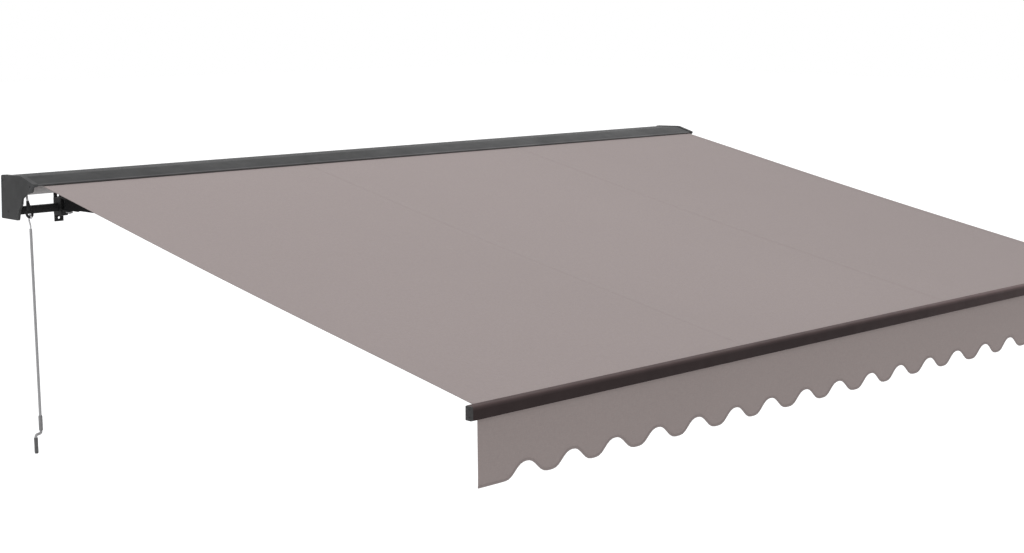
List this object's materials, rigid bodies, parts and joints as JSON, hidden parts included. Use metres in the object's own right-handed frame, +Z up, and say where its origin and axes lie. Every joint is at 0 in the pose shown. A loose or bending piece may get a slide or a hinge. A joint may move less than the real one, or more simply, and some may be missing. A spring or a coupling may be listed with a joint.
{
  "type": "folding-arm awning",
  "caption": "Folding-arm patio awning with a hood, roller, sprung folding arms, front bar, fabric canopy with a scalloped valance, and a worm gear with a hanging hand crank.",
  "frame": {"origin": "wall face of the middle bracket, at the height of the torsion bar's axis", "axes": "+X along the wall from the crank end to the other end, +Y into the wall, +Z up"},
  "size_m": [3.8816, 2.613, 1.068],
  "materials": {
    "hood_grey": "satin powder coat",
    "cap_grey": "satin powder coat",
    "black_steel": "satin powder coat",
    "black_alloy": "satin powder coat",
    "bar_brown": "satin powder coat",
    "bar_cap": "matt",
    "canopy_cloth": "woven, matt",
    "valance_cloth": "woven, matt",
    "zinc": "zinc plated",
    "spring_steel": "oiled",
    "crank_grey": "satin",
    "gear_plastic": "matt",
    "brass": "machined"
  },
  "bodies": {
    "frame": {"torsion_bar": "black_steel", "hood_cover": "hood_grey", "end_cap_left": "cap_grey", "end_cap_right": "cap_grey", "wall_bracket_left": "black_steel", "wall_bracket_centre": "black_steel", "wall_bracket_right": "black_steel", "bracket_clamp_left": "black_steel", "bracket_clamp_centre": "black_steel", "bracket_clamp_right": "black_steel", "bracket_bolt_left": "zinc", "bracket_bolt_centre": "zinc", "bracket_bolt_right": "zinc", "hood_support_left": "black_steel", "hood_support_centre": "black_steel", "hood_support_right": "black_steel", "gear_housing": "gear_plastic", "arm_bracket_left": "black_steel", "arm_bracket_right": "black_steel", "shoulder_pin_left": "zinc", "shoulder_pin_right": "zinc", "roller_bearing_right": "gear_plastic", "canopy": "canopy_cloth"},
    "rear_arm_left": {"shoulder_knuckle_left": "black_alloy", "rear_tube_left": "black_alloy", "elbow_fork_left": "black_alloy", "elbow_pin_left": "zinc"},
    "fore_arm_left": {"elbow_knuckle_left": "black_alloy", "fore_tube_left": "black_alloy", "arm_spring_left": "spring_steel", "wrist_knuckle_left": "black_alloy"},
    "front_beam": {"front_bar": "bar_brown", "front_bar_cap_left": "bar_cap", "front_bar_cap_right": "bar_cap", "valance": "valance_cloth", "wrist_bracket_left": "black_steel", "wrist_bracket_right": "black_steel", "wrist_pin_left": "zinc", "wrist_pin_right": "zinc"},
    "rear_arm_right": {"shoulder_knuckle_right": "black_alloy", "rear_tube_right": "black_alloy", "elbow_fork_right": "black_alloy", "elbow_pin_right": "zinc"},
    "fore_arm_right": {"elbow_knuckle_right": "black_alloy", "fore_tube_right": "black_alloy", "arm_spring_right": "spring_steel", "wrist_knuckle_right": "black_alloy"},
    "roller": {"roller_tube": "zinc", "fabric_roll": "canopy_cloth", "roller_plug_left": "gear_plastic", "roller_plug_right": "gear_plastic", "worm_wheel": "brass"},
    "drive": {"worm_shaft": "zinc", "drive_eye": "black_steel"},
    "crank": {"crank_hook": "zinc", "crank_rod": "crank_grey", "crank_sleeve": "gear_plastic"},
    "grip": {"crank_grip": "gear_plastic"}
  },
  "joints": [
    {"name": "fold", "type": "hinge", "parent": "frame", "child": "rear_arm_left", "pos_m": [-1.7155, -0.115, 0.0125], "axis": [0, -0.1555, 0.9878], "range_deg": [0, 49.5], "deforming": ["canopy"]},
    {"name": "elbow_left", "type": "hinge", "parent": "rear_arm_left", "child": "fore_arm_left", "pos_m": [-0.75592, -1.33, -0.17878], "axis": [0, -0.1555, 0.9878], "range_deg": [-99.01, 0]},
    {"name": "wrist_left", "type": "hinge", "parent": "fore_arm_left", "child": "front_beam", "pos_m": [-1.7155, -2.545, -0.37006], "axis": [0, -0.1555, 0.9878], "range_deg": [0, 49.51]},
    {"name": "shoulder_right", "type": "hinge", "parent": "frame", "child": "rear_arm_right", "pos_m": [1.7155, -0.115, 0.0125], "axis": [0, -0.1555, 0.9878], "range_deg": [-49.51, 0]},
    {"name": "elbow_right", "type": "hinge", "parent": "rear_arm_right", "child": "fore_arm_right", "pos_m": [0.75592, -1.33, -0.17878], "axis": [0, -0.1555, 0.9878], "range_deg": [0, 99.01]},
    {"name": "roller_spin", "type": "hinge", "parent": "frame", "child": "roller", "pos_m": [-1.9205, -0.14, 0.09719], "axis": [1, 0, 0], "range_deg": [-4680.01, 0]},
    {"name": "drive_spin", "type": "hinge", "parent": "frame", "child": "drive", "pos_m": [-1.9205, -0.18241, -0.0025], "axis": [0, 0.225, 0.9744], "range_deg": [0, 23400.01]},
    {"name": "crank_swing", "type": "hinge", "parent": "drive", "child": "crank", "pos_m": [-1.9205, -0.18507, -0.014], "axis": [-1, 0, 0], "range_deg": [-5, 50]},
    {"name": "grip_spin", "type": "hinge", "parent": "crank", "child": "grip", "pos_m": [-1.95179, -0.19835, -0.01453], "axis": [-0.0145, -0.0061, 0.9999], "continuous": true}
  ],
  "couplings": [
    {"joint": "elbow_left", "follows": "fold", "ratio": -2},
    {"joint": "wrist_left", "follows": "fold", "ratio": 1},
    {"joint": "shoulder_right", "follows": "fold", "ratio": -1},
    {"joint": "elbow_right", "follows": "fold", "ratio": 2},
    {"joint": "roller_spin", "follows": "fold", "ratio": -94.545},
    {"joint": "drive_spin", "follows": "fold", "ratio": 472.73}
  ]
}
